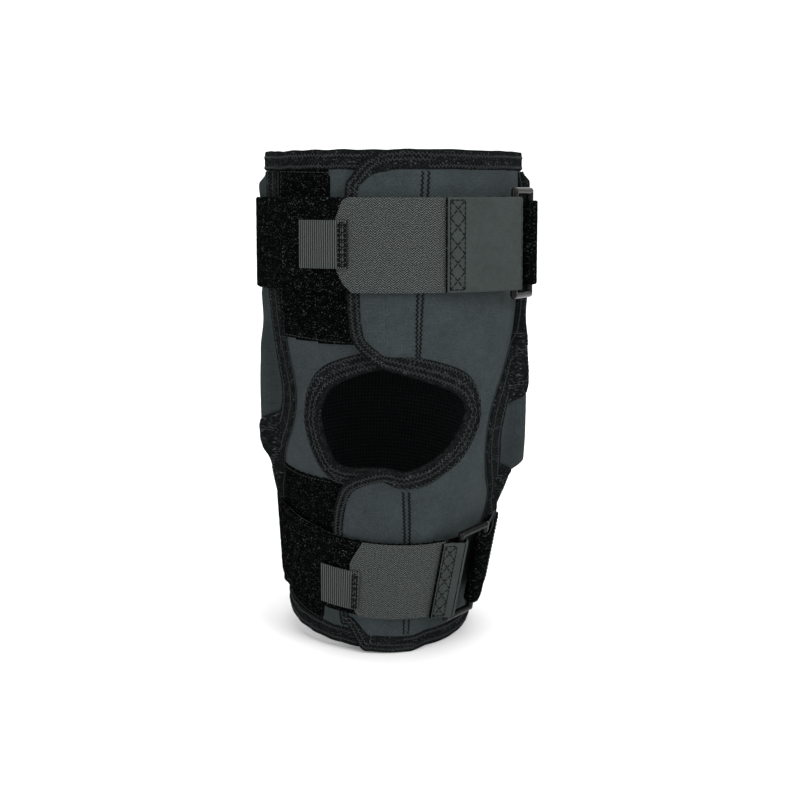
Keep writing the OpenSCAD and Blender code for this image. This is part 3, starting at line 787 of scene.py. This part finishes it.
def arched(start, end, level_start, level_end, rise):
    """Short stitches from start to end points, each rising over the cloth. Returns (count, 4, 3)."""
    out = []
    for t, h in ((0, -0.15), (0.25, rise), (0.75, rise), (1, -0.15)):
        p = start + (end - start) * t
        out.append(np.concatenate([p, (level_start + (level_end - level_start) * t + h)[:, None]], 1))
    return np.stack(out, 1)


def running(curve, shift, side, lift, pitch):
    """Running stitches along a curve, shifted sideways in mm."""
    line = unscaled(scaled(curve) + sideways(curve) * side * shift)
    line = unscaled(even(scaled(line), pitch))
    start, end = line[:-1], line[:-1] + (line[1:] - line[:-1]) * 0.72
    return arched(start, end, lift(start[:, 0], start[:, 1]), lift(end[:, 0], end[:, 1]), 0.22)


def zigzag(curve, near, far, side, lift, pitch):
    """Zigzag stitches between two distances from the curve, in mm."""
    q = even(scaled(curve), pitch / 2)
    n = sideways(unscaled(q)) * side
    w = np.where(np.arange(len(q)) % 2 == 0, near, far)[:, None]
    p = unscaled(q + n * w)
    level = lift(p[:, 0], p[:, 1])
    return arched(p[:-1], p[1:], level[:-1], level[1:], 0.25)


def sew(name, lines, mat="thread", r=0.2, slot="edge_tape"):
    """Stitches on the sleeve, cut in two at the knee."""
    return cross_knee(tubes(name, np.concatenate(lines), r, mat, slot, on_sleeve))


def raised(lift, h):
    return lambda a, s: lift(a, s) + h


# right panel: one long tape down the upper flap, the kneecap opening and the lower flap
WIDE, NARROW = 9.6, 5.6  # the tape round the opening and at the rims, and along the flaps
TAPE_TOP = 1.1  # the tape's height over the cloth
PITCH = 2.0  # of its cover stitches
edge_s = right_line[:, 1]
hole_part = (abs(edge_s) < 26) & (right_line[:, 0] > 2)
tape_width = np.where(hole_part | (abs(edge_s) > 130), WIDE, NARROW)
tape_width = np.convolve(np.pad(tape_width, 7, mode="edge"), np.ones(15) / 15, mode="valid")
cross_knee(tape("right_edge_tape", right_line, tape_width, 1, flap_lift, 2.5),
           "upper_flap_binding", "lower_flap_binding", "patella_binding_right")
on_tape = raised(flap_lift, TAPE_TOP)
sew("right_edge_stitch", [zigzag(right_line, low, low + 1.3, 1, on_tape, PITCH) for low in (0.9, 3.7)])
sew("right_hole_stitch", [zigzag(right_line[hole_part], 7.3, 8.7, 1, on_tape, PITCH)])

# left panel: the tape round its half of the kneecap opening
cross_knee(tape("left_hole_tape", left_line, WIDE, -1, flat_sleeve, WALL), "patella_binding_left")
on_left = raised(flat_sleeve, TAPE_TOP)
sew("left_hole_stitch", [zigzag(left_line, low, low + 1.3, -1, on_left, PITCH) for low in (0.9, 3.7, 7.3)])


def rim_curve(s, a0, a1):
    """A rim's edge from one angle to another, slightly uneven like sewn tape."""
    a = np.linspace(a0, a1, int((a1 - a0) * 1.15))
    return np.stack([a, s + ripple(a * 3, 0, 0.3, 17)], -1)


def rim_lift(a, s):
    return np.where(np.asarray(a) < 180, flap_lift(a, s), 0.0)


for word, s_rim, side in (("thigh", RIM - 0.2, -1), ("calf", 0.2 - RIM, 1)):
    whole = rim_curve(s_rim, 14, 372)
    rim = tape(f"{word}_rim_tape", whole, WIDE, side, rim_lift, 4.0)
    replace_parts(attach(rim, f"{word}_cuff"), f"{word}_rim_binding")
    rows = [zigzag(whole, low, low + 1.4, side, raised(rim_lift, TAPE_TOP), PITCH) for low in (1.6, 7.2)]
    stitch = tubes(f"{word}_rim_stitch", np.concatenate(rows), 0.2, "thread", "edge_tape", on_sleeve)
    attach(stitch, f"{word}_cuff")

# double seams that hold the hook pads behind the flaps
SEAM_UP = [[(12.1, 28.5), (12.5, 61.5), (15, 126.3)], [(13.7, 28.5), (15.2, 61.5), (18.2, 126.3)]]
SEAM_LOW = [[(6.5, -31), (9.3, -61), (12.4, -115.5), (13.2, -126)],
            [(9.6, -31), (12, -61), (15.3, -115.5), (15.5, -126)]]
for word, seams in (("thigh", SEAM_UP), ("calf", SEAM_LOW)):
    rows = [zigzag(fine(at_arc(x)), -0.6, 0.6, 1, flap_lift, 2.4) for x in seams]
    sew(f"{word}_pad_seam", rows, "thread_dark", 0.34, "neoprene")

# seams along the loop patches' outer edges and down the pockets
for word, outline in (("thigh", PATCH_UP), ("calf", PATCH_LOW)):
    points = at_arc([outline[1], outline[0], outline[-1], outline[-2]])
    row = running(unscaled(even(scaled(points), 1.0)), 2.0, 1, raised(flat_sleeve, 0.95), 2.6)
    sew(f"{word}_patch_seam", [row], "thread", 0.16, "loop_plush")


def pocket_cover(side):
    """The highest point of a pocket near each place, so that nothing of it stands through its band."""
    near = [(da, ds) for da in (-0.8, 0, 0.8) for ds in (-1, 0, 1)]
    return lambda a, s: np.max([under_strap(side, a + da, s + ds) for da, ds in near], axis=0)


for side, word in ((-1, "left"), (1, "right")):
    s_edge = np.linspace(POCKET_END, -POCKET_END, 230)
    curve = np.stack([side * pocket_edge(side, s_edge), s_edge], -1)
    cover = pocket_cover(side)
    cross_knee(pocket_band(f"{word}_pocket_band", curve, side, cover))
    sew(f"{word}_pocket_stitch", [zigzag(curve, near, far, side, raised(cover, 1.0), 2.2)
                                  for near, far in ((3.0, 4.2), (10.8, 12.0))])


# --- straps, rings and tabs
UP_R = 75.7  # the radius on which the upper strap lies
LOW_R = 60.75  # and the lower one, at its middle
UP_Z, LOW_Z = 88, -89  # the straps' middles
LOW_TURN = 47.3  # degrees from the front to the lower ring
LOW_TILT = math.radians(6.16)  # the lower ring leans in with the calf
THICK = 2.2
BAR_UP = 4.5  # a ring's bars over the strap's radius
LOOP_R = 3.4  # the strap's middle round a bar
FIRST, SECOND, THIRD, OVER_BAR = 1.1, 3.3, 5.1, 7.9  # the strap's middle in each layer, over that radius


def on_thigh(x, y, z):
    return thigh(np.stack([x, y, z], -1))


def on_cone(x, y, z):
    """Round the calf cuff, where the strap's radius changes with height. x, y: at the strap's middle."""
    grow = np.interp(z, *CONE) - LOW_R
    r = np.hypot(x, y)
    k = (r + grow + 0.19) / r
    return calf(np.stack([x * k, y * k, z], -1))


def on_low_ring(x, y, z):
    """The lower ring's own frame: x, y are about the strap's centre there, z up the strap from its middle."""
    p = turned(np.stack([x, y + LOW_R, z - LOW_Z], -1), LOW_TILT, ABOUT_X)
    return calf(turned(p + [0, -60.4, LOW_Z], math.radians(LOW_TURN), ABOUT_Z))


def polar(r, a):
    """The (x, y) of a radius and an angle from the front."""
    return np.stack([r * np.sin(np.radians(a)), -r * np.cos(np.radians(a))], -1)


def arc(r, a0, a1, u0, u1, step=1.3):
    """A path from one angle to another, at heights u0 to u1 over the radius."""
    n = max(2, int(abs(math.radians(a1 - a0)) * r / step) + 1)
    t = np.linspace(0, 1, n)
    return polar(r + u0 + (u1 - u0) * t, a0 + (a1 - a0) * t)


def bar_loop(r, a_bar, way):
    """Half a turn round a bar from below to above, on the side of larger angles for way 1."""
    phi = np.linspace(-90, 90, 15) * math.pi / 180
    c = polar(r + BAR_UP, a_bar)
    out = np.array([math.sin(math.radians(a_bar)), -math.cos(math.radians(a_bar))])
    right = np.array([-out[1], out[0]])
    return c + LOOP_R * (way * np.cos(phi)[:, None] * right + np.sin(phi)[:, None] * out)


def joined(*paths):
    """Paths one after the other, resampled evenly and with repeated points dropped."""
    p = np.vstack(paths)
    keep = np.concatenate([[True], np.linalg.norm(np.diff(p, axis=0), axis=1) > 0.15])
    return even(p[keep], 1.1)


def band(name, path, z_low, z_high, thick, place, mats, fuzz=0.0, seed=0):
    """A flat strap along a path, with round edges. The side right of the path takes the first material."""
    n = len(path)
    z_low, z_high = np.broadcast_to(z_low, (n,)), np.broadcast_to(z_high, (n,))
    t = unit(np.gradient(path, axis=0))
    normal = np.stack([t[:, 1], -t[:, 0]], -1)
    half = thick / 2
    rows, bends = 34, 5  # lines across each face, and round each edge
    face = np.linspace(0, 1, rows)
    turn = np.linspace(90, -90, bends + 2)[1:-1] * math.pi / 180
    flat, bend = np.full(rows, half), half * np.sin(turn)
    level = np.concatenate([flat, bend, -flat, -bend])
    share = np.concatenate([face, np.ones(bends), face[::-1], np.zeros(bends)])
    extra = np.concatenate([np.zeros(rows), half * np.cos(turn), np.zeros(rows), -half * np.cos(turn)])
    m = len(level)
    rough = np.random.default_rng(seed).normal(0, 1, (n, m)) * fuzz
    x = path[:, None, 0] + normal[:, None, 0] * (level * (1 + rough))
    y = path[:, None, 1] + normal[:, None, 1] * (level * (1 + rough))
    lo, hi = (z_low + half)[:, None], (z_high - half)[:, None]
    z = lo + (hi - lo) * share + extra * (1 + 2 * rough)
    points = place(x, y, z).reshape(-1, 3)
    faces = quads(n, m, close_v=True)
    which = np.zeros((n - 1, m))
    which[:, rows + bends // 2:2 * rows + bends + 2] = 1
    length = along(path)
    uv = np.stack([np.broadcast_to(length[:, None], (n, m)), z + 200], -1).reshape(-1, 2) * 0.001
    caps = []
    for end, flip in ((0, False), ((n - 1) * m, True)):
        ring = np.arange(m) + end
        top, bottom = ring[:rows], ring[rows + bends:2 * rows + bends][::-1]
        cap = np.stack([top[:-1], top[1:], bottom[1:], bottom[:-1]], -1)
        caps.append(cap[:, ::-1] if flip else cap)
    ends = np.full(2 * (rows - 1), 1 if mats.endswith("+strap_plush") else 0)
    which = np.concatenate([which.ravel(), ends]) if "+" in mats else None
    slot = "strap_plush" if "strap_plush" in mats else mats.split("+")[0]
    return make(name, points, np.vstack([faces] + caps), uv, mats, slot, which)


def metres(p):
    return tuple(float(v) * 0.001 for v in np.ravel(p))


OUT, IN = "strap_plush+strap_back", "strap_back+strap_plush"  # plush on the right or the left of the path


def main_band(name, r, a0, a1, z0, z1, place, seed):
    """A main strap all the way round. It lies lower behind the pockets."""
    n = int(math.radians(a1 - a0) * r / 1.3)
    angle = np.linspace(a0, a1, n)
    drop = 3.6 * smooth((angle - 106) / 12) * smooth((254 - angle) / 12)
    drop = drop + 1.9 * smooth((angle - 286) / 9) * smooth((330 - angle) / 9)
    path = polar(r + THICK / 2 - drop, angle)
    return band(name, path[::-1], z0, z1, THICK, place, IN, 0.05, seed)


def bends_between(obj, body, following, place, start, end, z):
    """Bakes the piece's transform into its mesh. start, end: (radius, angle) at the height z, passed on but
    not used.
    """
    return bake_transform(obj, body, following, start=metres(place(*polar(*start), z)),
                    end=metres(place(*polar(*end), z)))


def ring_straps(word, cuff, r, place, z, free, held, fold_at, tail_at, peel_at, anchor_at, seed):
    """What goes through a ring: the strap's loop round the free bar, the tail and the anchor's loop."""
    low, high = z - 25, z + 25
    start, bend_start, bend_end = fold_at
    path = joined(arc(r, start, free, FIRST, FIRST), bar_loop(r, free, 1))
    fold = band(f"{word}_fold", path, low, high, THICK, place, OUT, 0.05, seed)
    bends_between(fold, cuff, f"{word}_ring", place, (r, bend_start), (r, bend_end), z)
    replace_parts(fold, f"{word}_strap_fold")
    down, end = tail_at
    path = joined(arc(r, free, down, OVER_BAR, THIRD), arc(r, down - 0.1, end, THIRD, THIRD))
    tail = band(f"{word}_tail", path, low, high, THICK, place, OUT, 0.04, seed + 1)
    start, end = [(r + up, angle) for up, angle in peel_at]
    bends_between(tail, f"{word}_ring", f"{word}_tail", place, start, end, z)
    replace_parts(tail, f"{word}_strap_tail")
    far, down, under_far = anchor_at
    path = joined(arc(r, far, down, SECOND, SECOND), arc(r, down - 0.1, held, SECOND, OVER_BAR),
                  bar_loop(r, held, -1)[::-1], arc(r, held, under_far, FIRST, FIRST))
    anchor = band(f"{word}_anchor", path, low + 2, high - 2, THICK - 0.1, place, IN, 0.05, seed + 2)
    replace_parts(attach(anchor, cuff), f"{word}_ring_anchor")


def hook_tab(word, place, path, arcs, low, high, thick):
    """low, high: the edges as arc lengths and heights. arcs: the arc length at each point of the path."""
    hook = band(f"{word}_hook_tab", path, np.interp(arcs, *low), np.interp(arcs, *high), thick, place,
                "hook_tape+hook_tape")
    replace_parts(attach(hook, f"{word}_tail"), f"{word}_hook_tab")


def pull_tab(word, place, path, low, high, thick, start, end, z):
    pull = band(f"{word}_pull_tab", path, low, high, thick, place, "webbing")
    bends_between(pull, f"{word}_tail", f"{word}_pull_tab", place, start, end, z)
    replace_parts(pull, f"{word}_pull_tab")


main_strap = main_band("upper_strap", UP_R, 103.2, 382, 63, 113, on_thigh, 31)
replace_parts(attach(main_strap, "thigh_cuff"), "upper_strap")
ring_straps("upper", "thigh_cuff", UP_R, on_thigh, UP_Z, free=54.98, held=70.02, fold_at=(21.6, 24.0, 50.0),
            tail_at=(34.5, 20.5), peel_at=((7.9, 54.9), (7.4, 49.5)), anchor_at=(103.5, 83.5, 103.5), seed=32)
path = arc(UP_R, -22.3, 30, 3.2, 3.2, 0.8)
hook_tab("upper", on_thigh, path, np.linspace(-27.7, 38, len(path)),
         ([-27.7, -24.4, -19.8, 40], [75.5, 68.1, 63.0, 63.0]),
         ([-27.7, -24.2, -21.0, 40], [102, 111.6, 113, 113]), 1.4)
path = arc(UP_R, -38, -17.2, 4.72, 4.72)
pull_tab("upper", on_thigh, path, 75.6, 101, 1.4, (80.4, -20.4), (80.4, -24.5), 88.3)

bar = math.degrees(math.asin(10.5 / (LOW_R + BAR_UP)))  # from the lower ring's middle to its bars
main_strap = main_band("lower_strap", LOW_R, 82.4, 385, -114, -64, on_cone, 41)
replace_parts(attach(main_strap, "calf_cuff"), "lower_strap")
ring_straps("lower", "calf_cuff", LOW_R, on_low_ring, LOW_Z, free=-bar, held=bar,
            fold_at=(23 - LOW_TURN, 25 - LOW_TURN, 35 - LOW_TURN), tail_at=(-16, -20),
            peel_at=((7.9, -bar), (7.2, -13.5)), anchor_at=(33.5, 25, 35.5), seed=42)
path = arc(LOW_R, -17.6, 30, 3.0, 3.0, 0.8)
hook_tab("lower", on_cone, path, np.radians(np.linspace(-17.6, 30, len(path))) * 63.5,
         ([-19.5, -18, -15, -12.1, 40], [-101, -105.3, -112.4, -114, -114]),
         ([-19.5, -18.5, -12.9, 40], [-79.1, -76.1, -64, -64]), 1.1)
path = arc(LOW_R, -33, -12.5, 4.55, 4.55)
pull_tab("lower", on_cone, path, -108.7, -83.3, 1.3, (65.3, -15.2), (65.3, -18.8), -96)


# --- seams on the straps
def stitched_lines(lines, level):
    """Running stitches on straight (angle, height) lines. level: angles, heights over the strap's radius."""
    out = []
    for a0, z0, a1, z1 in lines:
        length = math.hypot(math.radians(a1 - a0) * 75, z1 - z0)
        t = np.linspace(0, 1, max(2, int(length / 2.5) + 1))
        p = np.stack([a0 + (a1 - a0) * t, z0 + (z1 - z0) * t], -1)
        start, end = p[:-1], p[:-1] + (p[1:] - p[:-1]) * 0.74
        u0, u1 = (np.interp(q[:, 0], *level) for q in (start, end))
        out.append(arched(start, end, u0, u1, 0.16))
    return np.concatenate(out)


def box_of_crosses(a0, a1, z0, z1, count):
    """A stitched box with diagonal crosses stacked up inside it."""
    lines = [(a0, z0, a0, z1), (a1, z0, a1, z1), (a0, z0, a1, z0), (a0, z1, a1, z1)]
    step = (z1 - z0) / count
    for k in range(count):
        lines.append((a0, z0 + k * step, a1, z0 + (k + 1) * step))
        lines.append((a1, z0 + k * step, a0, z0 + (k + 1) * step))
    return lines


def at_radius(place, r):
    """A place for (angle, height, height over the radius) points."""
    def put(q):
        xy = polar(r + q[..., 2], q[..., 0])
        return place(xy[..., 0], xy[..., 1], q[..., 1])
    return put


def uprights(angles, z0, z1):
    """Stitch lines up the strap at some angles."""
    return [(a, z0, a, z1) for a in angles]


def strap_seam(name, lines, level, place, r, body, mat="thread_dark", size=0.28):
    lines = stitched_lines(lines, level)
    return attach(tubes(name, lines, size, mat, "strap_plush", at_radius(place, r)), body)


low_level = ([-16, -bar], [6.25, 9.05])
tail_box = box_of_crosses(21.6, 27.6, 64.6, 111.4, 5)
strap_seam("upper_tail_box", tail_box, ([0], [6.25]), on_thigh, UP_R, "upper_tail")
tail_box = box_of_crosses(-19.2, -13.2, -112.4, -65.6, 5)
strap_seam("lower_tail_box", tail_box, low_level, on_low_ring, LOW_R, "lower_tail")
pull_box = uprights((-20.6, -19.9, -18.0, -17.6), 76.8, 99.8) + box_of_crosses(-20.3, -17.8, 76.8, 99.8, 6)
strap_seam("upper_pull_box", pull_box, ([0], [5.42]), on_thigh, UP_R, "upper_tail", "thread_dark", 0.3)
pull_box = uprights((-15.6, -12.9), -107.4, -84.6) + box_of_crosses(-15.2, -13.2, -107.4, -84.6, 6)
strap_seam("lower_pull_box", pull_box, ([0], [5.2]), on_cone, LOW_R, "lower_tail", "thread_dark", 0.3)
seams = uprights((85, 87, 101.5), 66.5, 109.5)
strap_seam("upper_anchor_seam", seams, ([0], [4.35]), on_thigh, UP_R, "thigh_cuff", "thread", 0.2)
seams = uprights((26.5, 28.5, 32.5), -110.5, -67.5)
strap_seam("lower_anchor_seam", seams, ([0], [4.35]), on_low_ring, LOW_R, "calf_cuff", "thread", 0.2)

# --- hard parts keep their CAD shape
for name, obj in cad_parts.items():
    if obj.hide_render:
        continue
    kind = "aluminium_stay" if "stay" in name else "ring_plastic" if name.endswith("_ring") else "hinge_steel"
    obj.data.materials.clear()
    obj.data.materials.append(MAT[kind])

# --- studio
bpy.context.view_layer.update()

# a paper backdrop: floor, a quarter turn and a wall, in metres
FLOOR = float(cad_low[2]) - 0.001
bend_r = 1.2
back_y = 1.6
half_width = 6.0
profile = [(-4.0, 0.0), (back_y, 0.0)]
quarter = np.linspace(0.05, math.pi / 2, 24)
profile += [(back_y + bend_r * math.sin(k), bend_r * (1 - math.cos(k))) for k in quarter]
profile += [(back_y + bend_r, 6.0)]
verts = [(x, y, FLOOR + z) for x in (-half_width, half_width) for y, z in profile]
count = len(profile)
sheet_faces = [(k, k + 1, count + k + 1, count + k) for k in range(count - 1)]
backdrop_mesh = bpy.data.meshes.new("backdrop")
backdrop_mesh.from_pydata(verts, [], [f[::-1] for f in sheet_faces])
backdrop_mesh.polygons.foreach_set("use_smooth", [True] * len(sheet_faces))
floor = new_object("backdrop", backdrop_mesh)


def paper(tree, bsdf):
    grain = noise(tree, node(tree, "TexCoord").outputs["Object"], 30, 2)
    colour_by(tree, bsdf, grain, [(0.3, (0.915, 0.915, 0.915)), (0.7, (0.93, 0.93, 0.93))])
    bsdf.inputs["Roughness"].default_value = 0.9
    bsdf.inputs["Specular IOR Level"].default_value = 0.1


floor.data.materials.append(material("paper", paper))

world = bpy.data.worlds.new("studio")
world.use_nodes = True
sky = world.node_tree.nodes["Background"].inputs
sky["Color"].default_value = (1, 1, 1, 1)
sky["Strength"].default_value = 0.85
bpy.context.scene.world = world


def aim(obj, location, target):
    obj.location = location
    obj.rotation_euler = (Vector(target) - Vector(location)).to_track_quat("-Z", "Y").to_euler()


def area_light(name, location, target, size, power):
    light = bpy.data.lights.new(name, "AREA")
    light.shape = "RECTANGLE"
    light.size, light.size_y = size
    light.energy = power
    aim(new_object(name, light), location, target)


area_light("key", (1.0, -1.0, 0.8), (0, 0, 0), (0.7, 0.9), 18)
area_light("fill", (-1.1, -1.0, 0.5), (0, 0, 0), (0.8, 0.9), 9)
area_light("top", (0, 0.1, 1.3), (0, 0, 0), (1.0, 1.0), 9)
area_light("backdrop", (0, 1.0, 1.9), (0, 2.8, 0.7), (3.0, 1.0), 26)

camera = bpy.data.cameras.new("camera")
camera.lens = 68.9
camera.sensor_width = 36
camera_object = new_object("camera", camera)
aim(camera_object, (0.00377, -0.860, 0.220), (0.00377, 0, -0.004))
bpy.context.scene.camera = camera_object
bpy.context.scene.view_settings.view_transform = "Standard"
